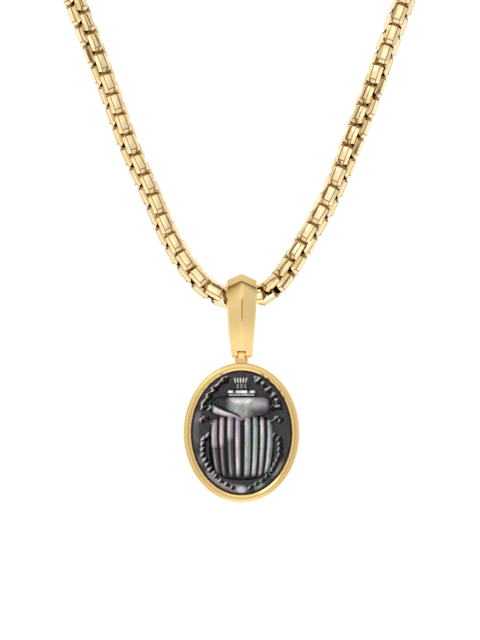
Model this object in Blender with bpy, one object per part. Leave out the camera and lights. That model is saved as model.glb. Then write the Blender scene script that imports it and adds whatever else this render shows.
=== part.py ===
"""A scarab amulet worn as a pendant: a carved oval stone in a gold bezel, on a ridged bail and a box chain.

The necklace lies face up. The origin is the centre of the bezel's flat back, +X is the wearer's left,
+Y points to the bail and the chain, and +Z points up out of the stone's face.
"""

import math

import bmesh
import bpy
import numpy as np

MM = 0.001

# Bezel: an oval cup with a plain back
BEZEL_HALF_WIDTH = 9.7 * MM
BEZEL_HALF_LENGTH = 11.65 * MM
BEZEL_HEIGHT = 3.2 * MM
BEZEL_WALL = 1.25 * MM
BEZEL_BACK = 0.6 * MM
BEZEL_RIM_ROUND = 0.5 * MM
BEZEL_LIP_BEVEL = 0.35 * MM
BEZEL_BACK_BEVEL = 0.25 * MM
BEZEL_SIDES = 64

# Stone: an oval plaque carved in relief, resting in the cup
STONE_CLEARANCE = 0.1 * MM
STONE_GROUND_HEIGHT = 2.2 * MM
STONE_EDGE_DROP = 0.5 * MM
STONE_ROWS = 44
STONE_MARGIN_COLUMNS = 5

# Scarab: every figure here is a share of the stone's half length
WING_CENTRE_Y = -0.245
WING_HALF_WIDTH = 0.5
WING_HALF_LENGTH = 0.525
WING_HEIGHT = 0.2
WING_FULLNESS = 2.6
RIBS = 8
RIB_DEPTH = 0.03
SHIELD_CENTRE_Y = 0.4
SHIELD_HALF_WIDTH = 0.47
SHIELD_UPPER_REACH = 0.2
SHIELD_LOWER_REACH = 0.235
SHIELD_HEIGHT = 0.205
SHIELD_FULLNESS = 2.0
HEAD_BLOCKS = (
    (0.65, 0.235, 0.05, 0.13),
    (0.76, 0.1, 0.07, 0.105),
    (0.855, 0.125, 0.04, 0.085),
)
HEAD_FULLNESS = 4.0
LEG_STROKES = (
    ((0.42, 0.43), (0.61, 0.47), (0.6, 0.56), (0.43, 0.72), (0.31, 0.81), (0.19, 0.87)),
    ((0.46, 0.16), (0.62, 0.24), (0.655, 0.14)),
    ((0.46, -0.02), (0.63, -0.14), (0.63, -0.36), (0.52, -0.58), (0.36, -0.76), (0.13, -0.895)),
)
LEG_HALF_WIDTH = 0.085
LEG_HEIGHT = 0.085

# Hinge: a lug on the bezel turns on a pin in the bail's forked foot
PIN_ABOVE_BEZEL = 1.45 * MM
PIN_RADIUS = 0.3 * MM
PIN_SIDES = 16
PIN_CLEARANCE = 0.05 * MM
PIN_INSET = 0.05 * MM
LUG_WIDTH = 1.3 * MM
LUG_EYE_RADIUS = 0.6 * MM
LUG_NECK_HALF_DEPTH = 0.5 * MM
LUG_SHOULDER_WIDTH = 2.3 * MM
LUG_SHOULDER_REACH = 0.3 * MM
LUG_CLEARANCE = 0.2 * MM

# Bail: a tapered strap with a ridged front, folded over the chain
FOOT_RADIUS = 0.75 * MM
FOOT_TURNS = (20.0, 45.0, 70.0)
FOOT_WIDTH = 3.5 * MM
BAIL_TOP_WIDTH = 5.05 * MM
BAIL_FLARE = 1.5
BAIL_WALL = 0.55 * MM
BAIL_RISE = 10.7 * MM
BAIL_LIFT = 0.05 * MM
BAIL_CROWN = 1.6 * MM
BAIL_CROWN_DROP = 1.45 * MM
BAIL_RIDGE_TOP = 1.1 * MM
BAIL_RIDGE_FOOT = 0.25 * MM
BAIL_CROTCH = 3.9 * MM
BAIL_BOW = 2.2
BAIL_STATIONS = 7
CHAIN_CLEARANCE = 0.3 * MM

# Chain: square-section links, each turned a quarter turn from the last, fused into runs
LINK_PITCH = 1.8 * MM
LINK_ACROSS = 3.5 * MM
LINK_BAND = 2.2 * MM
LINK_STEP = 0.5 * MM
LONGEST_RUN = 17
MIDDLE_RUN = 8
RUN_GAP = 0.1 * MM
ROUTE_STEPS = 24
LIFT_START = 4.0 * MM
LIFT_END = 14.0 * MM

# The chain's way round, from the clasp down the left, through the bail and up the right,
# as x and y in mm and the turn of its faces in degrees
CHAIN_ROUTE = (
    (0.0, 187.5, 0.0),
    (-7.5, 187.5, 4.0),
    (-20.0, 183.6, 8.0),
    (-34.0, 172.0, 20.0),
    (-43.0, 153.0, 30.0),
    (-44.3, 132.0, 15.0),
    (-40.5, 110.0, 5.0),
    (-34.3, 90.0, 25.0),
    (-27.9, 72.2, 42.0),
    (-24.75, 64.2, 30.0),
    (-21.75, 56.2, 14.0),
    (-18.9, 48.2, 20.0),
    (-15.3, 40.2, 16.0),
    (-11.75, 32.2, 12.0),
    (-8.6, 27.2, 14.0),
    (-5.6, 24.1, 12.0),
    (-2.75, 22.65, 2.0),
    (0.0, 22.4, 0.0),
    (2.75, 22.7, 3.0),
    (5.6, 24.6, 42.0),
    (8.1, 27.8, 40.0),
    (10.8, 32.2, 20.0),
    (15.2, 40.2, 10.0),
    (18.4, 48.2, 28.0),
    (21.5, 56.2, 34.0),
    (24.3, 64.2, 2.0),
    (27.25, 72.2, 10.0),
    (33.6, 90.0, 30.0),
    (39.8, 110.0, 12.0),
    (43.8, 132.0, 5.0),
    (42.7, 153.0, 22.0),
    (34.0, 172.0, 12.0),
    (20.0, 183.6, 4.0),
    (7.5, 187.5, 2.0),
)

# Clasp: a plain barrel in two halves, closed
CLASP_RADIUS = 2.2 * MM
CLASP_BARREL_LENGTH = 8.0 * MM
CLASP_CAP_LENGTH = 3.6 * MM
CLASP_SEAM = 0.1 * MM
CLASP_END_GAP = 0.2 * MM
CLASP_BEVEL = 0.5 * MM
CLASP_SIDES = 20

GOLD = (0.86, 0.66, 0.33, 1.0)
SHELL = (0.05, 0.05, 0.06, 1.0)

# Places worked out from the sizes above
BEZEL_MIDDLE_Z = BEZEL_HEIGHT / 2
PIN_Y = BEZEL_HALF_LENGTH + PIN_ABOVE_BEZEL
CREASE_Y = PIN_Y + BAIL_RISE
CHAIN_LIFTED_Z = BAIL_LIFT + BAIL_WALL + CHAIN_CLEARANCE + LINK_ACROSS / 2
BAIL_FRONT_Z = CHAIN_LIFTED_Z + LINK_ACROSS / 2 + CHAIN_CLEARANCE + BAIL_WALL
CLASP_LENGTH = CLASP_BARREL_LENGTH + CLASP_SEAM + CLASP_CAP_LENGTH
STONE_COLUMNS = 2 * (RIBS + STONE_MARGIN_COLUMNS)


def clear_objects():
    for item in list(bpy.data.objects):
        bpy.data.objects.remove(item, do_unlink=True)


def make_material(name, colour, metallic, roughness):
    material = bpy.data.materials.new(name)
    material.use_nodes = True
    shader = material.node_tree.nodes["Principled BSDF"]
    shader.inputs["Base Color"].default_value = colour
    shader.inputs["Metallic"].default_value = metallic
    shader.inputs["Roughness"].default_value = roughness
    return material


def make_object(name, points, faces, material):
    """A named object from its corner points and its faces, smooth where the faces nearly agree."""
    mesh = bpy.data.meshes.new(name)
    mesh.from_pydata([tuple(map(float, point)) for point in points], [], faces)
    shell = bmesh.new()
    shell.from_mesh(mesh)
    bmesh.ops.recalc_face_normals(shell, faces=shell.faces)
    shell.to_mesh(mesh)
    shell.free()
    mesh.shade_smooth()
    mesh.set_sharp_from_angle(angle=math.radians(35.0))
    mesh.materials.append(material)
    item = bpy.data.objects.new(name, mesh)
    bpy.context.collection.objects.link(item)
    return item


def skin_rings(rings):
    """Faces of a closed body whose rings of equal count run one after another, both ends capped."""
    count = len(rings[0])
    points = [point for ring in rings for point in ring]
    faces = []
    for ring in range(len(rings) - 1):
        for side in range(count):
            ahead = (side + 1) % count
            base = ring * count
            faces.append((base + side, base + ahead, base + count + ahead, base + count + side))
    faces.append(tuple(range(count - 1, -1, -1)))
    faces.append(tuple(range(len(points) - count, len(points))))
    return points, faces


def add_boolean(item, cutter, operation):
    """Join the cutter to an item or take it away; the cutter itself is only a guide."""
    cutter.hide_render = True
    cutter.display_type = "WIRE"
    modifier = item.modifiers.new(cutter.name, "BOOLEAN")
    modifier.solver = "EXACT"
    modifier.operation = operation
    modifier.object = cutter


def prism_along_x(name, outline, half_width, material):
    """A body with the given outline in Y and Z, pulled out along X to both sides of the middle."""
    rings = [[(x, y, z) for y, z in outline] for x in (-half_width, half_width)]
    points, faces = skin_rings(rings)
    return make_object(name, points, faces, material)


def disc_outline(radius, sides):
    """A round outline about the hinge pin's axis, as Y and Z."""
    turns = [math.tau * side / sides for side in range(sides)]
    return [(PIN_Y + radius * math.cos(turn), BEZEL_MIDDLE_Z + radius * math.sin(turn)) for turn in turns]


def box_outline(low_y, high_y, low_z, high_z):
    return [(low_y, low_z), (high_y, low_z), (high_y, high_z), (low_y, high_z)]


def oval_ring(inset, height):
    """One ring of the bezel, drawn in from its outer oval."""
    turns = np.arange(BEZEL_SIDES) * math.tau / BEZEL_SIDES
    across = (BEZEL_HALF_WIDTH - inset) * np.cos(turns)
    along = (BEZEL_HALF_LENGTH - inset) * np.sin(turns)
    return list(zip(across, along, np.full(BEZEL_SIDES, height)))


def make_bezel(gold):
    quarter = BEZEL_RIM_ROUND * (1 - math.sqrt(0.5))
    rings = [
        oval_ring(BEZEL_BACK_BEVEL, 0.0),
        oval_ring(0.0, BEZEL_BACK_BEVEL),
        oval_ring(0.0, BEZEL_HEIGHT - BEZEL_RIM_ROUND),
        oval_ring(quarter, BEZEL_HEIGHT - quarter),
        oval_ring(BEZEL_RIM_ROUND, BEZEL_HEIGHT),
        oval_ring(BEZEL_WALL - BEZEL_LIP_BEVEL, BEZEL_HEIGHT),
        oval_ring(BEZEL_WALL, BEZEL_HEIGHT - BEZEL_LIP_BEVEL),
        oval_ring(BEZEL_WALL, BEZEL_BACK),
    ]
    points, faces = skin_rings(rings)
    bezel = make_object("bezel", points, faces, gold)
    root = BEZEL_HALF_LENGTH - BEZEL_WALL / 2
    low = BEZEL_MIDDLE_Z - LUG_NECK_HALF_DEPTH
    high = BEZEL_MIDDLE_Z + LUG_NECK_HALF_DEPTH
    shoulder = box_outline(root, BEZEL_HALF_LENGTH + LUG_SHOULDER_REACH, low, high)
    neck = box_outline(root, PIN_Y, low, high)
    add_boolean(bezel, prism_along_x("lug_shoulder", shoulder, LUG_SHOULDER_WIDTH / 2, gold), "UNION")
    add_boolean(bezel, prism_along_x("lug_neck", neck, LUG_WIDTH / 2, gold), "UNION")
    eye = disc_outline(LUG_EYE_RADIUS, PIN_SIDES)
    add_boolean(bezel, prism_along_x("lug_eye", eye, LUG_WIDTH / 2, gold), "UNION")
    hole = disc_outline(PIN_RADIUS + PIN_CLEARANCE, PIN_SIDES)
    add_boolean(bezel, prism_along_x("lug_hole", hole, LUG_WIDTH, gold), "DIFFERENCE")
    return bezel


def dome(x, y, centre_y, half_width, half_length, fullness):
    """A rounded swelling, 1 at its middle and 0 from its outline outwards."""
    span = np.abs(x / half_width) ** fullness + np.abs((y - centre_y) / half_length) ** fullness
    return np.sqrt(np.clip(1 - span, 0, 1))


def stroke(x, y, corners, half_width):
    """A soft bar along a run of corners, 1 on its line and falling to 0 at its edge."""
    nearest = np.full_like(x, np.inf)
    for (ax, ay), (bx, by) in zip(corners, corners[1:]):
        run_x, run_y = bx - ax, by - ay
        along = ((x - ax) * run_x + (y - ay) * run_y) / (run_x**2 + run_y**2)
        along = np.clip(along, 0, 1)
        nearest = np.minimum(nearest, np.hypot(x - ax - along * run_x, y - ay - along * run_y))
    return np.clip(1 - (nearest / half_width) ** 2, 0, 1)


def scarab_relief(x, y, column):
    """Height of the carving above the plaque's ground, all in shares of the stone's half length."""
    wings = dome(x, y, WING_CENTRE_Y, WING_HALF_WIDTH, WING_HALF_LENGTH, WING_FULLNESS)
    furrow = 1 - np.abs(np.sin(column * STONE_COLUMNS / 4 * math.pi))
    height = wings * WING_HEIGHT - RIB_DEPTH * furrow * (wings > 0)
    reach = np.where(y > SHIELD_CENTRE_Y, SHIELD_UPPER_REACH, SHIELD_LOWER_REACH)
    shield = dome(x, y, SHIELD_CENTRE_Y, SHIELD_HALF_WIDTH, reach, SHIELD_FULLNESS)
    height = np.maximum(height, shield * SHIELD_HEIGHT)
    for centre, half_width, half_length, rise in HEAD_BLOCKS:
        block = dome(x, y, centre, half_width, half_length, HEAD_FULLNESS)
        height = np.maximum(height, rise * block)
    for corners in LEG_STROKES:
        height = np.maximum(height, LEG_HEIGHT * stroke(np.abs(x), y, corners, LEG_HALF_WIDTH))
    return np.maximum(height, 0)


def make_stone(shell):
    """The plaque's top is a grid bent to the oval, with one column on each rib and each furrow."""
    half_width = BEZEL_HALF_WIDTH - BEZEL_WALL - STONE_CLEARANCE
    half_length = BEZEL_HALF_LENGTH - BEZEL_WALL - STONE_CLEARANCE
    columns = np.linspace(-1, 1, STONE_COLUMNS + 1)
    rows = np.linspace(-1, 1, STONE_ROWS + 1)
    u, v = np.meshgrid(columns, rows)
    x = half_width * u * np.sqrt(1 - v**2 / 2)
    y = half_length * v * np.sqrt(1 - u**2 / 2)
    underside = BEZEL_BACK + STONE_CLEARANCE
    ground = underside + STONE_GROUND_HEIGHT
    z = ground + half_length * scarab_relief(x / half_length, y / half_length, u)
    z[[0, -1], :] = z[:, [0, -1]] = ground - STONE_EDGE_DROP
    wide = STONE_COLUMNS + 1
    top = np.stack([x, y, z], axis=-1).reshape(-1, 3)
    faces = [
        (row * wide + side, row * wide + side + 1, (row + 1) * wide + side + 1, (row + 1) * wide + side)
        for row in range(STONE_ROWS)
        for side in range(STONE_COLUMNS)
    ]
    edge = [side for side in range(wide)]
    edge += [row * wide + wide - 1 for row in range(1, STONE_ROWS + 1)]
    edge += [STONE_ROWS * wide + side for side in range(wide - 2, -1, -1)]
    edge += [row * wide for row in range(STONE_ROWS - 1, 0, -1)]
    below = top[edge].copy()
    below[:, 2] = underside
    first = len(top)
    for place, corner in enumerate(edge):
        ahead = (place + 1) % len(edge)
        faces.append((edge[ahead], corner, first + place, first + ahead))
    faces.append(tuple(range(first + len(edge) - 1, first - 1, -1)))
    return make_object("scarab_stone", np.concatenate([top, below]), faces, shell)


def make_pin(gold):
    half_length = FOOT_WIDTH / 2 - PIN_INSET
    return prism_along_x("hinge_pin", disc_outline(PIN_RADIUS, PIN_SIDES), half_length, gold)


def bail_half_width(y):
    """The strap's half width, which grows quickly above the foot and then slowly."""
    share = min(max((y - (PIN_Y - FOOT_RADIUS)) / (CREASE_Y - PIN_Y + FOOT_RADIUS), 0.0), 1.0)
    return (FOOT_WIDTH + (BAIL_TOP_WIDTH - FOOT_WIDTH) * (1 - (1 - share) ** BAIL_FLARE)) / 2


def bail_slope(share):
    """Back, front and ridge of the strap's sides, from the foot at 0 to the crease at 1."""
    back = (1 - share) * (BEZEL_MIDDLE_Z - FOOT_RADIUS) + share * BAIL_LIFT
    swell = (1 - share) ** BAIL_BOW
    front = swell * (BEZEL_MIDDLE_Z + FOOT_RADIUS) + (1 - swell) * BAIL_FRONT_Z
    ridge = (1 - share) * BAIL_RIDGE_FOOT + share * BAIL_RIDGE_TOP
    return back, front, ridge


def bail_section(edge_y, middle_y, back, front, ridge):
    """Six corners of the strap: flat at the back and raised to a ridge at the front."""
    half = bail_half_width(edge_y)
    return [
        (-half, edge_y, back),
        (-half, edge_y, front),
        (0.0, middle_y, front + ridge),
        (half, edge_y, front),
        (half, edge_y, back),
        (0.0, middle_y, back),
    ]


def make_bail(gold):
    sections = []
    for turn in map(math.radians, FOOT_TURNS):
        edge_y = PIN_Y - FOOT_RADIUS * math.cos(turn)
        depth = FOOT_RADIUS * math.sin(turn)
        ridge = BAIL_RIDGE_FOOT * math.sin(turn)
        sections.append(bail_section(edge_y, edge_y, BEZEL_MIDDLE_Z - depth, BEZEL_MIDDLE_Z + depth, ridge))
    for share in np.linspace(0, 1, BAIL_STATIONS):
        back, front, ridge = bail_slope(share)
        edge_y = PIN_Y + share * BAIL_RISE
        sections.append(bail_section(edge_y, edge_y + share**2 * BAIL_RIDGE_TOP, back, front, ridge))
    crown_y = CREASE_Y + BAIL_CROWN
    crown_front = BAIL_FRONT_Z - BAIL_CROWN_DROP
    crown_back = BAIL_LIFT + BAIL_WALL
    sections.append(bail_section(crown_y, crown_y + BAIL_RIDGE_TOP, crown_back, crown_front, 0.0))
    points, faces = skin_rings(sections)
    bail = make_object("bail", points, faces, gold)
    add_boolean(bail, make_passage(gold), "DIFFERENCE")
    slot_top = PIN_Y + LUG_EYE_RADIUS + LUG_CLEARANCE
    slot = box_outline(BEZEL_HALF_LENGTH, slot_top, -BEZEL_HEIGHT, 2 * BEZEL_HEIGHT)
    add_boolean(bail, prism_along_x("fork_slot", slot, LUG_WIDTH / 2 + LUG_CLEARANCE, gold), "DIFFERENCE")
    hole = disc_outline(PIN_RADIUS + PIN_CLEARANCE, PIN_SIDES)
    add_boolean(bail, prism_along_x("fork_hole", hole, BAIL_TOP_WIDTH, gold), "DIFFERENCE")
    return bail


def make_passage(gold):
    """The room for the chain, a wall's thickness inside the strap and ridged as the strap is."""
    crown_y = CREASE_Y + BAIL_CROWN - BAIL_WALL
    back = BAIL_LIFT + BAIL_WALL
    front = BAIL_FRONT_Z - BAIL_WALL
    low_share = BAIL_CROTCH / BAIL_RISE
    edge = [(PIN_Y + BAIL_CROTCH, bail_slope(low_share)[0] + BAIL_WALL)]
    rise = [(0, 0)]
    for share in np.linspace(low_share, 1, BAIL_STATIONS):
        _, slope_front, ridge = bail_slope(share)
        edge.append((PIN_Y + share * BAIL_RISE, slope_front - BAIL_WALL))
        rise.append((share**2 * BAIL_RIDGE_TOP, ridge))
    edge += [
        (crown_y, front - BAIL_CROWN_DROP + BAIL_WALL),
        (crown_y, back + BAIL_WALL),
        (crown_y - BAIL_WALL, back),
    ]
    rise += [(BAIL_RIDGE_TOP, 0), (BAIL_RIDGE_TOP, 0), (0, 0)]
    rings = []
    half = BAIL_TOP_WIDTH / 2
    for x in (-2 * half, -half, 0.0, half, 2 * half):
        lean = max(1 - abs(x) / half, 0.0)
        rings.append([(x, y + lean * up, z + lean * out) for (y, z), (up, out) in zip(edge, rise)])
    points, faces = skin_rings(rings)
    return make_object("chain_passage", points, faces, gold)


def lying_height(turn):
    """Height of the chain's middle when its lowest corner is on the ground."""
    turn = np.abs(turn)
    return LINK_ACROSS / 2 * np.cos(turn) + LINK_BAND / 2 * np.sin(turn)


def chain_line():
    """Closely spaced points and face turns round the closed route, and the way walked to each."""
    knots = np.array(CHAIN_ROUTE) * (MM, MM, math.radians(1.0))
    ahead = np.roll(knots, -1, axis=0)
    gaps = np.hypot(*(ahead - knots)[:, :2].T)[:, None]
    slopes = (ahead - knots) / gaps
    before = np.roll(slopes, 1, axis=0)
    weight = np.roll(gaps, 1, axis=0) / (gaps + np.roll(gaps, 1, axis=0))
    slopes_here = (1 - weight) * before + weight * slopes
    slopes_ahead = np.roll(slopes_here, -1, axis=0)
    t = (np.arange(ROUTE_STEPS) / ROUTE_STEPS)[None, :, None]
    start, end, run = knots[:, None], ahead[:, None], gaps[:, None]
    line = (
        (2 * t**3 - 3 * t**2 + 1) * start
        + (t**3 - 2 * t**2 + t) * run * slopes_here[:, None]
        + (3 * t**2 - 2 * t**3) * end
        + (t**3 - t**2) * run * slopes_ahead[:, None]
    ).reshape(-1, 3)
    line = np.concatenate([line, line[:1]])
    flat = line[:, :2]
    turn = line[:, 2]
    away = np.hypot(flat[:, 0], flat[:, 1] - CREASE_Y)
    fall = np.clip((LIFT_END - away) / (LIFT_END - LIFT_START), 0, 1)
    lift = (CHAIN_LIFTED_Z - LINK_ACROSS / 2) * fall**2 * (3 - 2 * fall)
    points = np.column_stack([flat, lying_height(turn) + lift])
    walked = np.concatenate([[0], np.cumsum(np.linalg.norm(np.diff(points, axis=0), axis=1))])
    return points, turn, walked


def chain_ring(line, way, across, band):
    """Four corners of a link's section at one place along the way."""
    points, turn, walked = line
    here, ahead, behind = (
        np.array([np.interp(place, walked, points[:, axis]) for axis in range(3)])
        for place in (way, way + LINK_PITCH / 4, way - LINK_PITCH / 4)
    )
    onward = (ahead - behind) / np.linalg.norm(ahead - behind)
    side = np.cross(onward, (0, 0, 1))
    side /= np.linalg.norm(side)
    face = np.cross(side, onward)
    angle = np.interp(way, walked, turn)
    sideways = side * math.cos(angle) + face * math.sin(angle)
    outwards = face * math.cos(angle) - side * math.sin(angle)
    corners = ((-1, -1), (1, -1), (1, 1), (-1, 1))
    return [here + sideways * across / 2 * a + outwards * band / 2 * b for a, b in corners]


def chain_runs(links, middle_link):
    """Name, first link and link count of each run, shared out evenly on both sides of the bail."""
    left_end = middle_link - MIDDLE_RUN // 2
    right_start = left_end + MIDDLE_RUN
    runs = [("chain_middle", left_end, MIDDLE_RUN)]
    for side, first, last in (("left", 0, left_end), ("right", right_start, links)):
        pieces = math.ceil((last - first) / LONGEST_RUN)
        marks = [first + round((last - first) * piece / pieces) for piece in range(pieces + 1)]
        runs += [(f"chain_{side}_{n + 1}", a, b - a) for n, (a, b) in enumerate(zip(marks, marks[1:]))]
    return runs


def make_chain(gold):
    line = chain_line()
    points, _, walked = line
    length = walked[-1] - CLASP_LENGTH - 2 * CLASP_END_GAP
    links = round(length / LINK_PITCH)
    pitch = length / links
    start = CLASP_LENGTH / 2 + CLASP_END_GAP
    at_bail = walked[np.argmin(np.hypot(points[:, 0], points[:, 1] - CREASE_Y + LINK_ACROSS / 2))]
    middle_link = round((at_bail - start) / pitch)
    for name, first, count in chain_runs(links, middle_link):
        rings = []
        for link in range(first, first + count):
            across, band = (LINK_ACROSS, LINK_BAND) if link % 2 else (LINK_BAND, LINK_ACROSS)
            low = start + link * pitch + (RUN_GAP / 2 if link == first else LINK_STEP / 2)
            high = start + (link + 1) * pitch - (RUN_GAP / 2 if link == first + count - 1 else LINK_STEP / 2)
            rings.append(chain_ring(line, low, across, band))
            rings.append(chain_ring(line, high, across, band))
        points, faces = skin_rings(rings)
        make_object(name, points, faces, gold)
    return line


def make_clasp(line, gold):
    """Two plain halves on one axis, laid across the top of the loop where the route begins."""
    points, _, _ = line
    middle = points[0]
    for name, start, length in (
        ("clasp_barrel", -CLASP_LENGTH / 2, CLASP_BARREL_LENGTH),
        ("clasp_cap", CLASP_LENGTH / 2 - CLASP_CAP_LENGTH, CLASP_CAP_LENGTH),
    ):
        rings = []
        for along, radius in (
            (0, CLASP_RADIUS - CLASP_BEVEL),
            (CLASP_BEVEL, CLASP_RADIUS),
            (length - CLASP_BEVEL, CLASP_RADIUS),
            (length, CLASP_RADIUS - CLASP_BEVEL),
        ):
            turns = (np.arange(CLASP_SIDES) + 0.5) * math.tau / CLASP_SIDES
            lying = CLASP_RADIUS * math.cos(math.pi / CLASP_SIDES)
            x = middle[0] + start + along
            rings.append([(x, middle[1] + radius * math.sin(a), lying - radius * math.cos(a)) for a in turns])
        points, faces = skin_rings(rings)
        make_object(name, points, faces, gold)


def main():
    clear_objects()
    gold = make_material("yellow_gold", GOLD, 1.0, 0.2)
    shell = make_material("black_mother_of_pearl", SHELL, 0.0, 0.15)
    make_bezel(gold)
    make_stone(shell)
    make_pin(gold)
    make_bail(gold)
    line = make_chain(gold)
    make_clasp(line, gold)


main()
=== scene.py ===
"""A scarab amulet worn as a pendant: carved black mother-of-pearl in satin gold, on a rounded box chain.

Lengths are in metres. The row frame has its origin at the centre of the bezel's flat back, +Y to the bail
and the chain, and +Z out of the carved face.
"""

import math

import bpy
import numpy as np
from bpy.props import FloatProperty, FloatVectorProperty, IntProperty, PointerProperty
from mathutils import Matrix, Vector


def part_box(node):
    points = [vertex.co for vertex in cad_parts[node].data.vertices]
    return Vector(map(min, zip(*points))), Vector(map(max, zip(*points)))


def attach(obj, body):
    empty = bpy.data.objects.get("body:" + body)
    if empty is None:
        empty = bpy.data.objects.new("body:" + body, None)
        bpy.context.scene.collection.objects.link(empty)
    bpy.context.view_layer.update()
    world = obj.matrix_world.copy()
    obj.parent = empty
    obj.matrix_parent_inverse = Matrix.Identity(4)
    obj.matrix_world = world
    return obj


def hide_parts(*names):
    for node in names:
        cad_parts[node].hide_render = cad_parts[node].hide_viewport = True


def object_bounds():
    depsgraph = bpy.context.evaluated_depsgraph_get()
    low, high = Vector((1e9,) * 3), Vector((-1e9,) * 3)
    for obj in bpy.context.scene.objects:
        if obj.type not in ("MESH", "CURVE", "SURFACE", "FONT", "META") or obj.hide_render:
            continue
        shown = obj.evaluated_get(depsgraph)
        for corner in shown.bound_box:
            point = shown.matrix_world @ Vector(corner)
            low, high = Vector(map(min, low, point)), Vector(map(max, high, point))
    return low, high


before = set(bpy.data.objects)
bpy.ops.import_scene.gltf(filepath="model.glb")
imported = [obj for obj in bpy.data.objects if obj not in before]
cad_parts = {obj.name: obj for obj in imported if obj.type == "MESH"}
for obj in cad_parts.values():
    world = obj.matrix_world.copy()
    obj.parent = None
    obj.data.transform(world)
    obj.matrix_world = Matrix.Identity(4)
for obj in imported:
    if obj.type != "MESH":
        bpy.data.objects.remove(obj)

bl_info = {
    "name": "Scarab amulet",
    "version": (1, 0, 0),
    "blender": (4, 5, 0),
    "location": "3D View > Sidebar > Amulet",
    "description": "Makes the surfaces, finishes and studio of a carved scarab pendant on its box chain",
    "category": "Add Mesh",
}

MM = 0.001
CAD_BOX = [list(map(float, corner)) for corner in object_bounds()]
NECKLACE = "necklace"
AMULET = "amulet"

BEZEL_LOW, BEZEL_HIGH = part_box("bezel")
STONE_LOW, STONE_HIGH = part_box("scarab_stone")
PIN_LOW, PIN_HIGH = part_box("hinge_pin")
BARREL_LOW, BARREL_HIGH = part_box("clasp_barrel")
CAP_LOW, CAP_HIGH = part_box("clasp_cap")

PIN_Y = (PIN_LOW.y + PIN_HIGH.y) / 2
PIN_Z = (PIN_LOW.z + PIN_HIGH.z) / 2
PIN_RADIUS = (PIN_HIGH.z - PIN_LOW.z) / 2
PIN_CLEARANCE = 0.05 * MM
BEZEL_HALF_WIDTH = BEZEL_HIGH.x
BEZEL_HALF_LENGTH = -BEZEL_LOW.y
STONE_HALF_WIDTH = STONE_HIGH.x
STONE_HALF_LENGTH = STONE_HIGH.y
STONE_GROUND_Z = 2.9 * MM
STONE_EDGE_Z = 2.4 * MM
BAIL_RISE = 10.7 * MM
CREASE_Y = PIN_Y + BAIL_RISE

# The scarab's figures are shares of the stone's half length
WING_CENTRE_Y = -0.245
WING_HALF_WIDTH = 0.525
WING_HALF_LENGTH = 0.525
WING_HEIGHT = 0.2
WING_FULLNESS = 2.6
WING_SHOULDER_FULLNESS = 5.0
RIBS_IN_HALF_STONE = 6.25
SHIELD_HALF_WIDTH = 0.505
SHIELD_HEIGHT = 0.185
FRONT_LEG = ((0.5, 0.4), (0.625, 0.42), (0.575, 0.52), (0.45, 0.69), (0.34, 0.8), (0.225, 0.885))
MIDDLE_LEG = ((0.46, 0.16), (0.6, 0.26), (0.635, 0.2))
HIND_LEG = ((0.5, -0.02), (0.62, -0.12), (0.62, -0.36), (0.52, -0.58), (0.36, -0.76), (0.13, -0.895))
HIND_CLAW_START = 0.74

# The bail's strap: points across its outer face, stations round its side view, and its main sizes
STRAP_SPREAD = np.array([-0.97, -0.75, -0.5, -0.25, -0.07, 0.0, 0.07, 0.25, 0.5, 0.75, 0.97])
FOOT_STATIONS = 6
SLOPE_STATIONS = 33
CREST_STATIONS = 6
CREASE_SHIFT = 0.22 * MM
FOOT_RADIUS = 0.75 * MM
FOOT_WIDTH = 3.5 * MM
TOP_WIDTH = 5.05 * MM
FRONT_TOP_Z = 5.25 * MM
RIDGE_FOOT = 0.25 * MM
RIDGE_TOP = 1.1 * MM
BAIL_SHARP_DEG = 24.0

# The chain's way round, from the clasp down the left, through the bail and up the right,
# as x and y in mm and the turn of its faces in degrees
CHAIN_ROUTE = (
    (0.0, 187.5, 0.0), (-7.5, 187.5, 4.0), (-20.0, 183.6, 8.0), (-34.0, 172.0, 20.0),
    (-43.0, 153.0, 30.0), (-44.3, 132.0, 15.0), (-40.5, 110.0, 5.0), (-34.3, 90.0, 25.0),
    (-27.9, 72.2, 42.0), (-24.75, 64.2, 30.0), (-21.75, 56.2, 14.0), (-18.9, 48.2, 20.0),
    (-15.3, 40.2, 16.0), (-11.75, 32.2, 12.0), (-8.6, 27.2, 14.0), (-5.6, 24.1, 12.0),
    (-2.75, 22.65, 2.0), (0.0, 22.4, 0.0), (2.75, 22.7, 3.0), (5.6, 24.6, 42.0),
    (8.1, 27.8, 40.0), (10.8, 32.2, 20.0), (15.2, 40.2, 10.0), (18.4, 48.2, 28.0),
    (21.5, 56.2, 34.0), (24.3, 64.2, 2.0), (27.25, 72.2, 10.0), (33.6, 90.0, 30.0),
    (39.8, 110.0, 12.0), (43.8, 132.0, 5.0), (42.7, 153.0, 22.0), (34.0, 172.0, 12.0),
    (20.0, 183.6, 4.0), (7.5, 187.5, 2.0),
)
ROUTE_STEPS = 24
LINKS_BESIDE_BAIL = 4
LINK_PITCH = 1.8 * MM
LINK_ACROSS = 3.5 * MM
LINK_BAND = 2.2 * MM
CHAIN_LIFTED_Z = 2.65 * MM
LIFT_START = 4.0 * MM
LIFT_END = 14.0 * MM
CLASP_LENGTH = CAP_HIGH.x - BARREL_LOW.x
CLASP_END_GAP = 0.2 * MM

# Rows across the bezel's polished cut, as shares of its width: two lie close to its edges, so that the rest
# reflects as a flat. Then the painted shade and painted dark reflection on the section's last rows: crown,
# cut, wall and floor
CUT_SHARES = np.array((0.0, 0.1, 0.9, 1.0))
POLISHED_ROWS = 6
RIM_PAINTED_SHADE = (0.12, 0.3, 0.54, 0.6, 0.54, 0.32, 0.12, 0.0, 0.04, 0.3, 0.8)

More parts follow.
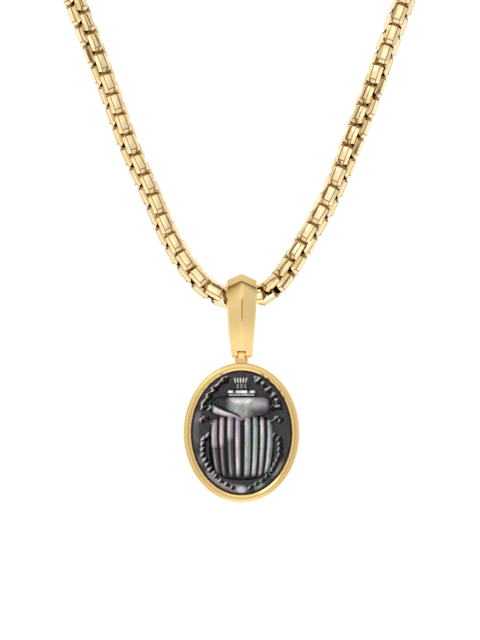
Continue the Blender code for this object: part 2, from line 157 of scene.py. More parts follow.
# The photograph's framing: 480 x 640 pixels, six to the millimetre, seen from straight above
PIXELS_PER_MM = 6.0
IMAGE_HEIGHT_PX = 640
VIEW_CENTRE_X = -0.25 * MM
VIEW_CENTRE_Y = 18.8 * MM
CAMERA_HEIGHT = 400.0 * MM
SENSOR_MM = 36.0

# How each gold was finished: its clean and its scratched colour, its roughness and the spread of that,
# and the spacing and height of its grain in mm
POLISHED = "polished 18k gold"
BRIGHT = "bright-dipped 18k gold"
SATIN = "satin 18k gold"
GOLD_FINISHES = {
    # Buffed to a near mirror, with a ripple that only softens it
    POLISHED: ("gold", "gold_deep", 0.13, 0.04, 0.2, 0.0006),
    # Tumbled and dipped, so the links look paler than the bail and softly glossy
    BRIGHT: ("gold_bright", "gold", 0.17, 0.04, 0.2, 0.0006),
    # Rubbed with fine grit, whose grain, drawn coarser than real, spreads each highlight into a soft sheen
    SATIN: ("gold", "gold_deep", 0.3, 0.05, 0.09, 0.0025),
}
WEAR_SPACING = 1.6 * MM

# What the shell's cut layers flash, from its inner layers to its outer ones
PEARL_FLASH = (
    (0.0, "#D6C8E2"), (0.2, "#F2DEE8"), (0.4, "#FDFBFA"), (0.55, "#D6EADC"), (0.72, "#DAEAF4"),
    (0.88, "#F8F6F2"), (1.0, "#DCD0EA"),
)

# The floor: half its side, in metres, and how far it lies below the object
FLOOR_HALF = 1.5
FLOOR_GAP = 0.02 * MM

# The light tent: its colour by the height of the direction, from the horizon at 0 to overhead at 1
TENT = (
    (0.0, "#F4F1EC"), (0.13, "#EDE8E0"), (0.21, "#4A3C2E"), (0.34, "#4A3C2E"), (0.45, "#F6F3EE"),
    (0.6, "#E8E3DA"), (0.72, "#F6F4F1"), (0.9, "#FBFAF8"), (1.0, "#FFFFFF"),
)
TENT_STRENGTH = 1.07
# Cards in the tent: the middle's direction, the reach of the full card and of its soft edge in degrees,
# and its brightness
CARDS = (
    ((0.74, 0.0, 0.67), 16, 34, 0.72),
    ((0.0, 0.82, 0.57), 12, 26, 1.0),
    ((0.0, -0.88, 0.47), 16, 34, 1.08),
    ((-0.5, 0.6, 0.62), 8, 14, 2.2),
    ((0.0, 0.2, 0.98), 6, 17, 1.3),
)


def hex_colour(code):
    """The linear colour of an sRGB hex code."""
    parts = np.array([int(code[place:place + 2], 16) for place in (1, 3, 5)]) / 255
    return tuple(np.where(parts <= 0.04045, parts / 12.92, ((parts + 0.055) / 1.055) ** 2.4))


def coded(stops):
    """A ramp's stops with their hex codes turned to linear colours."""
    return [(place, hex_colour(code)) for place, code in stops]


def colour_property(name, description, code):
    """A colour that a user can change, from its hex code."""
    return FloatVectorProperty(
        name=name, description=description, subtype="COLOR", size=3, min=0, max=1, default=hex_colour(code)
    )


def length_property(name, description, millimetres):
    """A length that a user can change."""
    return FloatProperty(
        name=name, description=description, unit="LENGTH", subtype="DISTANCE", precision=5,
        min=0.0, default=millimetres * MM,
    )


class AmuletSizes(bpy.types.PropertyGroup):
    """Sizes that the frame leaves open."""

    bezel_wall: length_property("Bezel wall", "Width of the rim round the stone", 1.25)
    bezel_back: length_property("Bezel back", "Thickness of the closed back", 0.6)
    rim_round: length_property("Rim round", "Radius of the rim's outer shoulder", 0.6)
    lip_bevel: length_property("Lip bevel", "Width of the bright cut inside the rim", 0.38)
    lip_drop: length_property("Lip drop", "How far the cut inside the rim falls", 0.2)
    rib_depth: length_property("Rib depth", "Depth of the furrows between the wing ribs", 0.31)
    bail_wall: length_property("Bail wall", "Thickness of the folded strap", 0.55)
    bail_edge: length_property("Bail edge", "Rounding of the strap's edges", 0.14)
    link_thickness: length_property("Link thickness", "Thickness of the band in a chain link", 0.68)
    link_length: length_property("Link length", "Length of a chain link along the chain", 3.56)
    stone_columns: IntProperty(
        name="Stone columns", description="Cells across the carving", default=256, min=52, max=300
    )
    stone_rows: IntProperty(
        name="Stone rows", description="Cells along the carving", default=316, min=60, max=330
    )


class AmuletColours(bpy.types.PropertyGroup):
    """Colours of the finishes and the studio."""

    gold: colour_property("Gold", "Yellow 18k gold", "#FCE0A0")
    gold_deep: colour_property("Deep gold", "Gold where the surface is finely scratched", "#F6D592")
    gold_bright: colour_property("Bright gold", "Gold of the chain, buffed palest", "#FFEDC8")
    # Brown mixed into the gold as painted shade and painted dark reflection
    gold_painted_shade: colour_property("Crease gold", "Gold that no buff reaches, dulled to brown", "#845814")
    shell_dark: colour_property("Shell ground", "Black mother-of-pearl away from the light", "#101012")
    shell_slate: colour_property("Shell slate", "Bluish layers in the ground", "#343A40")
    shell_plum: colour_property("Shell plum", "Purplish layers in the ground", "#39343C")
    floor: colour_property("Floor", "Plain pale floor", "#FFFFFF")


def sizes():
    """The sizes set in the scene."""
    return bpy.context.scene.amulet_sizes


def colours():
    """The colours set in the scene."""
    return bpy.context.scene.amulet_colours


def grid_quads(rows, columns, close_rows=False, close_columns=False):
    """Quads between a grid of points, as one array; a closed way joins its last line to its first."""
    row = np.arange(rows if close_rows else rows - 1)[:, None]
    column = np.arange(columns if close_columns else columns - 1)[None, :]
    below, right = (row + 1) % rows, (column + 1) % columns
    near, far = row * columns, below * columns
    return np.stack([near + column, near + right, far + right, far + column], axis=-1).reshape(-1, 4)


def tube_faces(rings, sides):
    """Faces of rings in a row along X, turned from Y to Z, with a flat cap at both ends, facing out."""
    faces = grid_quads(rings, sides, close_columns=True)[:, ::-1].tolist()
    return faces + [list(range(sides)), list(range(rings * sides - 1, (rings - 1) * sides - 1, -1))]


def make_piece(name, points, faces, materials, body, nodes=(), sharp=35.0, values=None):
    """A closed mesh from its points and faces, smooth where they nearly agree, riding on its body.

    The values give each point, or each face, its share of what each name stands for: painted shade, painted
    highlight or the shell's layer.
    """
    mesh = bpy.data.meshes.new(name)
    mesh.from_pydata(np.asarray(points, dtype=float).reshape(-1, 3).tolist(), [], faces)
    if mesh.validate():
        raise RuntimeError(f"{name}: the mesh has faces that don't hold")
    mesh.shade_smooth()
    mesh.set_sharp_from_angle(angle=math.radians(sharp))
    for material in materials:
        mesh.materials.append(material)
    for key, shares in (values or {}).items():
        layer = mesh.attributes.new(key, "FLOAT", "FACE" if np.size(shares) == len(faces) else "POINT")
        layer.data.foreach_set("value", np.clip(shares, 0, 1).reshape(-1).astype(np.float32))
    piece = bpy.data.objects.new(name, mesh)
    bpy.context.scene.collection.objects.link(piece)
    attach(piece, body)
    if nodes:
        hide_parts(*nodes)
    return piece


def turned(radius, turn):
    """Points at a radius and a turn, as radius times cosine and radius times sine."""
    return radius * np.cos(turn), radius * np.sin(turn)


def unit(vectors):
    """Vectors in rows, each divided by its length."""
    return vectors / np.linalg.norm(vectors, axis=1, keepdims=True)


def add_node(tree, kind, inputs=None, stops=(), **settings):
    """Adds a shader node of a kind; an input given a socket is linked, others are set, stops fill a ramp."""
    node = tree.nodes.new(f"ShaderNode{kind}")
    for name, value in settings.items():
        setattr(node, name, value)
    for key, value in (inputs or {}).items():
        if isinstance(value, bpy.types.NodeSocket):
            tree.links.new(value, node.inputs[key])
        else:
            node.inputs[key].default_value = value
    if stops:
        elements = node.color_ramp.elements
        while len(elements) < len(stops):
            elements.new(0.5)
        for element, (place, colour) in zip(elements, stops):
            element.position = place
            element.color = (*colour, 1.0)
    return node


def new_material(name, settings=None):
    """A material whose one shader has these settings and is linked to its output."""
    material = bpy.data.materials.new(name)
    material.use_nodes = True
    tree = material.node_tree
    tree.nodes.clear()
    shader = add_node(tree, "BsdfPrincipled", settings)
    add_node(tree, "OutputMaterial", {"Surface": shader.outputs["BSDF"]})
    return material, tree, shader


def gold(name):
    """Yellow gold: a clear warm mirror with a fine grain, wiped with faint cloudy wear.

    An attribute mixes in brown as painted shade and painted dark reflection, in creases, gaps and edges.
    """
    if name in bpy.data.materials:
        return bpy.data.materials[name]
    clean, scratched, roughness, spread, grain, grain_height = GOLD_FINISHES[name]
    material, tree, shader = new_material(name, {"Metallic": 1.0})
    place = add_node(tree, "TexCoord").outputs["Object"]
    wear = add_node(tree, "TexNoise", {"Vector": place, "Scale": 1 / WEAR_SPACING, "Detail": 3.0})
    fine = add_node(tree, "TexNoise", {"Vector": place, "Scale": 1 / (grain * MM), "Detail": 2.0})
    # Painted shade: the attribute's share of brown
    painted_shade = add_node(tree, "Attribute", attribute_name="painted_shade").outputs["Fac"]
    colour, deep, brown = ((*getattr(colours(), key), 1) for key in (clean, scratched, "gold_painted_shade"))
    for share, other in ((wear.outputs["Fac"], deep), (painted_shade, brown)):
        mix = add_node(tree, "Mix", {"Factor": share, "A": colour, "B": other}, data_type="RGBA")
        colour = mix.outputs["Result"]
    dull_and_painted_shade = add_node(
        tree, "MapRange",
        {"Value": wear.outputs["Fac"], "To Min": roughness - spread, "To Max": roughness + spread},
    )
    bump = add_node(
        tree, "Bump",
        {"Height": fine.outputs["Fac"], "Distance": grain_height * MM, "Strength": 1.0},
    )
    tree.links.new(colour, shader.inputs["Base Color"])
    tree.links.new(dull_and_painted_shade.outputs["Result"], shader.inputs["Roughness"])
    tree.links.new(bump.outputs["Normal"], shader.inputs["Normal"])
    return material


def black_pearl():
    """Black mother-of-pearl, carved and polished: a near-black layered ground under a clear gloss.

    The pearl's own flash of silver, lilac, pink, green and blue shows where an attribute lays painted
    highlights on the carving, which also turn it a little metallic. The flash wanders in sheets of about 2.2
    mm drawn out along the shell, and is broken by streaks of 0.45 mm, coarser than the real ones. Slate and
    plum clouds of
    1.1 mm lie in the ground wherever any painted highlight is laid.
    """
    material, tree, shader = new_material("polished black mother-of-pearl", {
        "Roughness": 0.24, "IOR": 1.53, "Specular IOR Level": 0.15,
        "Coat Weight": 0.07, "Coat Roughness": 0.04,
    })
    painted_lustre, growth = (
        add_node(tree, "Attribute", attribute_name=name).outputs["Fac"]
        for name in ("painted_lustre", "growth")
    )
    place = add_node(tree, "TexCoord").outputs["Object"]
    noises = []
    # The layers, the streaks and the clouds: their scale along Y, spacing in mm, detail and distortion
    for drawn, spacing, detail, distortion in (
        (0.4, 2.2, 2.0, 1.4), (0.16, 0.45, 2.0, 0.6), (1.0, 1.1, 4.0, 0.8),
    ):
        laid = add_node(tree, "Mapping", {"Vector": place, "Scale": (1.0, drawn, 1.0)})
        noises.append(add_node(tree, "TexNoise", {
            "Vector": laid.outputs["Vector"], "Scale": 1 / (spacing * MM), "Detail": detail,
            "Distortion": distortion,
        }).outputs["Fac"])
    layers, streaks, clouds = noises
    wander, broken, cloudy = (
        add_node(
            tree, "MapRange",
            {"Value": value, "From Min": from_min, "From Max": from_max, "To Min": to_min, "To Max": to_max},
        ).outputs["Result"]
        for value, from_min, from_max, to_min, to_max in (
            (layers, 0.3, 0.7, -0.22, 0.22), (streaks, 0.36, 0.5, 0.74, 1.0), (painted_lustre, 0.0, 0.03, 0.0, 1.0),
        )
    )
    hue = add_node(tree, "Math", {0: growth, 1: wander}, operation="ADD")
    amount = add_node(
        tree, "Math", {0: painted_lustre, 1: broken}, operation="MULTIPLY", use_clamp=True
    ).outputs["Value"]
    flash = add_node(tree, "ValToRGB", {"Fac": hue.outputs["Value"]}, stops=coded(PEARL_FLASH))
    tones = colours()
    dark, slate, plum = tuple(tones.shell_dark), tuple(tones.shell_slate), tuple(tones.shell_plum)
    veins = [(0.32, dark), (0.44, slate), (0.5, dark), (0.6, plum), (0.68, dark), (0.8, slate)]
    veined = add_node(tree, "ValToRGB", {"Fac": clouds}, stops=veins)
    colour = (*dark, 1)
    for share, other in ((cloudy, veined), (amount, flash)):
        mix = add_node(
            tree, "Mix", {"Factor": share, "A": colour, "B": other.outputs["Color"]},
            data_type="RGBA",
        )
        colour = mix.outputs["Result"]
    metal = add_node(tree, "MapRange", {"Value": amount, "To Min": 0.0, "To Max": 0.3})
    tree.links.new(colour, shader.inputs["Base Color"])
    tree.links.new(metal.outputs["Result"], shader.inputs["Metallic"])
    return material


def floor_material():
    """White acrylic sheet, evenly matt and lit through from below as on a product table."""
    return new_material("white acrylic sheet", {
        "Base Color": (0.25, 0.25, 0.25, 1), "Roughness": 0.6,
        "Emission Color": (*colours().floor, 1), "Emission Strength": 0.85,
    })[0]


def rise(value):
    """A rounded climb, as up the side of a pillow, from 0 at 0 to 1 at 1."""
    return np.sqrt(np.clip(1 - (1 - np.clip(value, 0, 1)) ** 2, 0, 1))


def ease(value):
    """A soft S from 0 at 0 to 1 at 1."""
    value = np.clip(value, 0, 1)
    return value * value * (3 - 2 * value)


def bell(value, middle, width):
    """A bell that is 1 at the middle: e to the power of minus the square of the distance in widths."""
    return np.exp(-(((value - middle) / width) ** 2))


def walk_along(x, y, corners):
    """Distance to a run of corners, and how far along the run its nearest point is."""
    nearest = np.full_like(x, np.inf)
    walked = np.zeros_like(x)
    before = 0.0
    for (ax, ay), (bx, by) in zip(corners, corners[1:]):
        run_x, run_y = bx - ax, by - ay
        length = math.hypot(run_x, run_y)
        along = np.clip(((x - ax) * run_x + (y - ay) * run_y) / length**2, 0, 1)
        away = np.hypot(x - ax - along * run_x, y - ay - along * run_y)
        walked = np.where(away < nearest, before + along * length, walked)
        nearest = np.minimum(nearest, away)
        before += length
    return nearest, walked


def wing_relief(x, y, u):
    """The wing cases: a full dome whose furrows follow the columns, leaving eight ribs.

    A painted highlight of pearl fills each rib from its left flank, as lit from the left, further right on
    the middle right ones, and is brightest along a core. The three left ribs lie in painted shade below their
    middle, with only a thread of it.
    """
    fullness = np.where(y > WING_CENTRE_Y, WING_SHOULDER_FULLNESS, WING_FULLNESS)
    span = np.abs(x / WING_HALF_WIDTH) ** fullness
    span = span + np.abs((y - WING_CENTRE_Y) / WING_HALF_LENGTH) ** fullness
    dome = np.sqrt(np.clip(1 - span, 0, 1))
    phase = (u * RIBS_IN_HALF_STONE) % 1
    crest = 1 - np.abs(2 * phase - 1)
    depth = sizes().rib_depth / STONE_HALF_LENGTH
    height = WING_HEIGHT * dome - depth * (1 - ease(crest * 0.62 + 0.19) / ease(0.81)) * (dome > 0)
    rib = np.floor(u * RIBS_IN_HALF_STONE)
    start = 0.2 + 0.2 * ease((x + 0.02) / 0.1) * (1 - ease((x - 0.2) / 0.22))
    across = (phase - start) % 1
    reach = 0.54 + 0.07 * np.sin(2.6 * rib)
    pearl = ease(across / 0.1) * (1 - ease((across - reach) / 0.2))
    pearl = pearl * (0.46 + 0.54 * bell(across, 0.24, 0.17))
    lower_left = ease((-0.1 - y + 0.08 * np.sin(2.2 * rib)) / 0.12) * ease((-0.1 - x) / 0.04)
    thread = 0.14 * pearl + 0.4 * bell(across, 0.3, 0.09)
    pearl = pearl * (1 - lower_left) + thread * lower_left
    pearl = pearl * (0.88 + 0.12 * np.sin(3.7 * rib + 5 * y))
    ends = ease(dome / 0.6) * ease((0.72 + y) / 0.1)
    return height, pearl * ends


def growth_lines(x, y, u):
    """Which layer of the shell the carving shows, from 0 to 1: rib by rib, and by areas of the shield."""
    rib = np.floor(u * RIBS_IN_HALF_STONE)
    wings = 0.5 + 0.24 * np.sin(2.3 * rib + 0.6) + 0.16 * np.sin(6 * y + rib)
    wings = np.where(x < -0.08, 0.22 + 0.1 * np.sin(3 * rib), wings)
    shield = 0.46 - 0.4 * ease((x - 0.18) / 0.2) - 0.38 * ease((0.36 - y) / 0.08) * ease((0.04 - x) / 0.1)
    small = (y > 0.595) | (np.abs(x) > SHIELD_HALF_WIDTH + 0.02)
    return np.where(small, 0.36, np.where(y > 0.2, shield, wings))


def shield_relief(x, y):
    """The shield behind the head: a low dome over a band that is cut along its pointed lower edge.

    A painted highlight of pearl is fullest under the head and thins to both ends, with painted shade to the
    lower right. Only the left of the cut band has a painted highlight, under a shallow groove painted dark.
    """
    side = np.abs(x)
    corner = np.clip((side - 0.3) / (SHIELD_HALF_WIDTH - 0.3), 0, 1)
    upper = 0.4 + 0.19 * (1 - corner**2.4) ** (1 / 2.4)
    lower = 0.16 + 0.07 * (1 - np.exp(-side / 0.04)) + 0.079 * (side / 0.443) ** 2
    lower = lower + 0.05 * np.clip((side - 0.443) / 0.06, 0, 1) ** 2
    lower = lower + 0.08 * np.clip((x - 0.35) / 0.15, 0, 1) ** 2
    inside = (y > lower) & (y < upper) & (side < SHIELD_HALF_WIDTH)
    up = np.clip((y - lower) / np.maximum(upper - lower, 0.02), 0, 1)
    dome = (1 - np.abs(2 * up - 1) ** 3) ** 0.5 * np.sqrt(np.clip(1 - (side / SHIELD_HALF_WIDTH) ** 4, 0, 1))
    band = 0.055 + 0.09 * side / 0.443
    cut = (y - lower) / band
    line = bell(cut, 1.12, 0.24) * ease((0.02 - x) / 0.05) * ease((x + 0.46) / 0.06)
    height = SHIELD_HEIGHT * dome - 0.03 * line
    # Painted highlights: a patch under the head, a flank on the right, and a middle that falls into painted
    # shade at the lower right
    patch = ease((y - 0.42 - 0.9 * x**2) / 0.09) * ease((x + 0.26 - 0.5 * (0.56 - y)) / 0.14)
    patch = patch * ease((0.3 - x) / 0.2)
    flank = 0.62 * bell(x, 0.34, 0.14) * bell(y, 0.47, 0.07)
    shaded = ease((x - 0.02) / 0.2) * ease((0.46 - y) / 0.12)
    middle = (0.02 + 0.42 * ease((x + 0.27) / 0.16)) * (1 - 0.85 * shaded)
    pearl = np.maximum(np.maximum(patch, flank), middle) * ease((0.46 - x) / 0.08) * (1 - 0.95 * line)
    pearl = pearl * ease(up / 0.06) * ease((1 - up) / 0.08)
    # Painted highlight on the left of the cut band, which faces the lower left
    facet = ease((0.95 - cut) / 0.25) * ease(cut / 0.2) * ease((0.02 - x) / 0.04) * ease((x + 0.48) / 0.05)
    pearl = np.where((cut < 1) & (x < 0), 0.9 * facet, pearl)
    return np.where(inside, height, 0), np.where(inside, pearl, 0)


def block(x, y, centre_x, centre_y, half_width, half_length, edge=0.012):
    """A flat-topped block with soft edges, 1 on top and 0 outside."""
    across, along = half_width - np.abs(x - centre_x), half_length - np.abs(y - centre_y)
    return ease(across / edge) * ease(along / edge)


def head_relief(x, y):
    """The head: eye bars beside a middle bar, a grooved block above them, and a fan of five ribs."""
    side = np.abs(x)
    # Each part's second number is its share of painted highlight
    parts = [
        (0.118 * block(x, y, 0, 0.6475, 0.235, 0.053, 0.03), 0.12),
        (0.135 * block(x, y, 0.0, 0.667, 0.1, 0.033), 1.0),
        (0.132 * block(side, y, 0.178, 0.668, 0.052, 0.03), 0.95),
        (0.121 * block(side, y, 0.07, 0.612, 0.15, 0.018), 0.75),
    ]
    grooves = 0.6 + 0.4 * np.abs(np.cos(x * math.pi / 0.062))
    parts.append((0.108 * grooves * block(x, y, 0, 0.755, 0.095, 0.048), 0.3))
    fan = np.clip((y - 0.79) / 0.11, 0, 1)
    spread = (x + 0.015) / (0.094 + 0.034 * fan)
    ribs = np.abs(np.sin((spread + 1) * math.pi * 2.5))
    parts.append((0.088 * (0.45 + 0.55 * ribs) * block(spread, y, 0, 0.845, 1.0, 0.055, 0.03), 0.0))
    height, painted_lustre = np.zeros_like(x), np.zeros_like(x)
    for part, shine in parts:
        painted_lustre = np.where(part > height, shine * ease((part - 0.06) / 0.04), painted_lustre)
        height = np.maximum(height, part)
    # Painted highlight along the crests of the fan's ribs
    fan_shine = ease((ribs - 0.35) / 0.3) * block(spread, y, 0, 0.846, 0.97, 0.056, 0.02)
    return height, np.maximum(painted_lustre, fan_shine)


def edge_light(x, y, height):
    """Painted highlight of pearl on the slopes that climb to the right or downwards, which face the upper
    left.

    The slope is taken along a line between the two, and the right half gets three quarters as much, as
    painted shade.
    """
    run_x = np.maximum(np.gradient(x, axis=1), 1e-6)
    run_y = np.maximum(np.gradient(y, axis=0), 1e-6)
    slope = 0.85 * np.gradient(height, axis=1) / run_x - 0.5 * np.gradient(height, axis=0) / run_y
    shaded_right = np.where(x > 0.1, 0.75, 1.0)
    return shaded_right * ease((slope - 0.25) / 0.75)


def leg_relief(x, y):
    """The legs: a toothed front pair, a short middle pair, and a hind pair of scales that ends in claws.

    Each is a round bar along its run of corners, whose width and height swell in waves along the run.
    """
    side = np.abs(x)
    height = np.zeros_like(x)

    def lay(away, half_width, top):
        bar = top * np.sqrt(np.clip(1 - (away / half_width) ** 2, 0, 1))
        return np.maximum(height, bar)

    sway = 0.017 * np.sin(y * math.tau / 0.13)
    away, along = walk_along(side + sway, y, FRONT_LEG)
    swelling = 0.5 + 0.5 * np.cos(along / 0.115 * math.tau)
    height = lay(away, 0.04 + 0.014 * swelling, 0.06 + 0.03 * swelling)
    away, along = walk_along(side + 0.5 * sway, y, MIDDLE_LEG)
    height = lay(away, 0.034 + 0.012 * np.cos(along / 0.12 * math.tau), 0.07)
    away, along = walk_along(side, y, HIND_LEG)
    claws = along > HIND_CLAW_START
    scale = (along / 0.088) % 1
    stacked = np.sqrt(np.clip(1 - (2 * scale - 1) ** 2, 0, 1))
    height = np.where(claws, height, lay(away, 0.05 * (0.55 + 0.45 * stacked), 0.03 + 0.06 * stacked))
    height = np.where(claws, lay(away, 0.02, 0.03), height)
    step = 0.11
    bead = np.hypot(away, (((along - HIND_CLAW_START) / step) % 1 - 0.5) * step)
    height = np.where(claws, lay(bead, 0.04, 0.08), height)
    # Painted highlight on the legs' slopes that face the upper left
    return height, edge_light(x, y, height)


def plaque_shine(x, y):
    """Painted sheen of pearl on the ground by the rim, broken into patches, low on both sides and at the
    left, and in a spot at the foot, over a faint base everywhere.
    """
    reach = np.hypot(x / (STONE_HALF_WIDTH / STONE_HALF_LENGTH), y)
    turn = np.arctan2(y, x)
    broken = ease(0.5 + 0.6 * np.sin(9 * turn + 2 * np.sin(5 * turn)))
    rim = ease((reach - 0.82) / 0.08) * ease((0.99 - reach) / 0.05)
    low = rim * ease((-0.4 - y) / 0.2) * broken
    left = rim * ease((-0.55 - x) / 0.1) * ease((0.5 - np.abs(y + 0.05)) / 0.2) * broken
    foot = ease((0.11 - np.hypot(x, (y + 0.92) * 1.5)) / 0.06)
    return 0.03 + 0.34 * low + 0.36 * foot + 0.16 * left


class AMULET_OT_stone(bpy.types.Operator):
    """Carve the scarab plaque as one closed surface."""

    bl_idname = "amulet.stone"
    bl_label = "Carved stone"

    def execute(self, context):
        """A square grid (u, v) is bent to the oval by x = X u sqrt(1 - v2/2) and y = Y v sqrt(1 - u2/2).

        Its height is the highest of the carved parts at each point. The edge rolls down a quarter circle, and
        a skirt closes it to the flat underside.
        """
        columns, rows = sizes().stone_columns, sizes().stone_rows
        u, v = np.meshgrid(np.linspace(-1, 1, columns + 1), np.linspace(-1, 1, rows + 1))
        across = u * np.sqrt(1 - v**2 / 2)
        along = v * np.sqrt(1 - u**2 / 2)
        x = across * STONE_HALF_WIDTH / STONE_HALF_LENGTH
        height, painted_lustre = np.zeros_like(x), plaque_shine(x, along)
        parts = (
            wing_relief(x, along, u), leg_relief(x, along), shield_relief(x, along), head_relief(x, along),
        )
        # Painted highlights: each carved part brings its own share where it stands highest
        for part, shine in parts:
            painted_lustre = np.where(part > height, shine, painted_lustre)
            height = np.maximum(height, part)
        growth = growth_lines(x, along, u)
        reach = np.hypot(across, along)
        roll = (STONE_GROUND_Z - STONE_EDGE_Z) * (1 - rise((1 - reach) / 0.05))
        z = np.minimum(STONE_GROUND_Z + STONE_HALF_LENGTH * height - roll, STONE_HIGH.z)
        top = np.stack([across * STONE_HALF_WIDTH, along * STONE_HALF_LENGTH, z], axis=-1).reshape(-1, 3)
        wide = columns + 1
        edge = np.concatenate([
            np.arange(wide), np.arange(2, rows + 2) * wide - 1,
            rows * wide + np.arange(columns - 1, -1, -1), np.arange(rows - 1, 0, -1) * wide,
        ])
        skirt = top[edge] * (1, 1, 0) + (0, 0, STONE_LOW.z)
        ahead = np.roll(edge, -1)
        below = len(top) + np.arange(len(edge))
        sides = np.stack([ahead, edge, below, np.roll(below, -1)], axis=-1)
        faces = grid_quads(rows + 1, wide).tolist() + sides.tolist() + [below[::-1].tolist()]
        points = np.concatenate([top, skirt])
        shares = {
            key: np.concatenate([share.reshape(-1), np.zeros(len(edge))])
            for key, share in (("painted_lustre", painted_lustre), ("growth", growth))
        }
        make_piece(
            "carved_stone", points, faces, [black_pearl()], AMULET, ["scarab_stone"],
            sharp=60.0, values=shares,
        )
        return {"FINISHED"}


def bend(inset, z, wide, tall, start, end, count=7):
    """Points of an ellipse's arc in the bezel's section, as inset and height, by turns in degrees."""
    turns = np.radians(np.linspace(start, end, count))
    return np.stack([inset + wide * np.cos(turns), z + tall * np.sin(turns)], axis=-1)


class AMULET_OT_bezel(bpy.types.Operator):
    """Turn the oval gold cup and solder the hinge lug to it."""

    bl_idname = "amulet.bezel"
    bl_label = "Bezel"

    def execute(self, context):
        """The cup's section, as inset from the outer oval and height, is carried round the oval.

        The section runs from the middle of the back, round the outer shoulder, over the rim and its bright
        inner cut, and down to the middle of the floor.
        """
        size = sizes()
        height = BEZEL_HIGH.z
        wall, round_off, drop = size.bezel_wall, size.rim_round, size.lip_drop
        crown_end = wall - size.lip_bevel
        back_round, edge = 0.25 * MM, 0.04 * MM
        cut_start = np.array((crown_end + edge, height - 0.8 * edge))
        cut_end = np.array((wall - edge, height - drop))
        section = np.concatenate([
            bend(back_round, back_round, back_round, back_round, 270, 180),
            bend(crown_end - edge, height - round_off, crown_end - edge, round_off, 180, 90, 12),
            [(crown_end, height - 0.2 * edge)],
            cut_start + CUT_SHARES[:, None] * (cut_end - cut_start),
            [(wall, height - drop - edge), (wall, size.bezel_back)],
        ])
        around = 192
        turn = np.arange(around)[None, :] * math.tau / around
        inset, z = section[:, 0, None], section[:, 1, None]
        x = (BEZEL_HALF_WIDTH - inset) * np.cos(turn)
        y = (BEZEL_HALF_LENGTH - inset) * np.sin(turn)
        points = np.stack([x, y, np.broadcast_to(z, x.shape)], axis=-1)
        count = len(section)
        faces = [face[::-1] for face in tube_faces(count, around)]
        # Painted shade and painted dark reflection on the rim's last rows, deepest at the left and right
        painted_shading = np.zeros(count)
        painted_shading[-len(RIM_PAINTED_SHADE):] = RIM_PAINTED_SHADE
        cup = make_piece(
            "bezel_cup", points, faces, [gold(SATIN), gold(POLISHED)], AMULET, ["bezel"],
            sharp=28.0, values={"painted_shade": painted_shading[:, None] * (0.75 + 0.25 * np.cos(turn) ** 2)},
        )
        finish = np.zeros(len(faces), dtype=np.int32)
        finish[(count - 1 - POLISHED_ROWS) * around:(count - 1) * around] = 1
        cup.data.polygons.foreach_set("material_index", finish)
        self.add_lug()
        return {"FINISHED"}

    def add_lug(self):
        """A ring whose outer edge follows the lug's outline and whose inner edge follows the pin's hole.

        Its half width swells from the eye to the bezel's wall, where it flares, and a step behind the pin is
        wider than the front and lies under painted shade.
        """
        eye, neck, half_width, flare, corner = 0.52 * MM, 0.42 * MM, 0.57 * MM, 0.3 * MM, 0.08 * MM
        flare_start, flare_run, rise_to_rim = 0.7 * MM, 0.65 * MM, 0.5 * MM
        shoulder = 0.13 * MM
        root = BEZEL_HALF_LENGTH - sizes().bezel_wall / 2 - PIN_Y
        meet = math.pi - math.asin(neck / eye)
        eye_y, eye_z = turned(eye, np.linspace(-meet, meet, 25))
        step = np.linspace(0, 1, 9)[1:]
        reach = eye_y[-1] + (root - eye_y[-1]) * step
        front = neck + rise_to_rim * ease(step)
        outer_y = np.concatenate([eye_y, reach, np.full(8, root), reach[-2::-1]])
        outer_z = np.concatenate([eye_z, front, front[-1] - (front[-1] + neck) * step, np.full(7, -neck)])
        hole_y, hole_z = turned(PIN_RADIUS + PIN_CLEARANCE, np.arctan2(outer_z, outer_y))
        behind = outer_z < 0.05 * MM
        wide = half_width + shoulder * behind + flare * ease((-outer_y - flare_start) / flare_run)
        rings = [
            np.stack(
                [side * (wide - back), outer_y * (1 - inset / eye), outer_z * (1 - inset / eye)], axis=-1
            )
            for side, inset, back in (
                (-1, corner, 0), (-1, 0.3 * corner, 0.3 * corner), (-1, 0, corner),
                (1, 0, corner), (1, 0.3 * corner, 0.3 * corner), (1, corner, 0),
            )
        ]
        rings += [np.stack([side * wide, hole_y, hole_z], axis=-1) for side in (1, -1)]
        points = np.stack(rings, axis=1) + (0, PIN_Y, PIN_Z)
        faces = grid_quads(len(outer_y), len(rings), close_rows=True, close_columns=True)
        # Painted shade: brown growing towards the bezel, and deep on the step behind the pin
        dull_and_painted_shade = np.maximum(0.34 * ease((-outer_y - 0.4 * MM) / (0.4 * MM)), 0.9 * behind)
        make_piece(
            "hinge_lug", points, faces.tolist(), [gold(SATIN)], AMULET,
            values={"painted_shade": np.repeat(dull_and_painted_shade, len(rings))},
        )


def bail_half_width(y):
    """The strap's half width, which grows quickly above the foot and then slowly."""
    share = np.clip((y - PIN_Y + FOOT_RADIUS) / (BAIL_RISE + FOOT_RADIUS), 0, 1)
    return (FOOT_WIDTH + (TOP_WIDTH - FOOT_WIDTH) * (1 - (1 - share) ** 1.5)) / 2


def bail_slope(share):
    """Back, front and ridge of the strap's sides, from the foot at 0 to the front's upper edge at 1."""
    lift = 0.05 * MM
    back = (1 - share) * (PIN_Z - FOOT_RADIUS) + share * lift
    swell = (1 - share) ** 2.2
    front = swell * (PIN_Z + FOOT_RADIUS) + (1 - swell) * FRONT_TOP_Z
    ridge = (1 - share) * RIDGE_FOOT + share * RIDGE_TOP
    return back, front, ridge


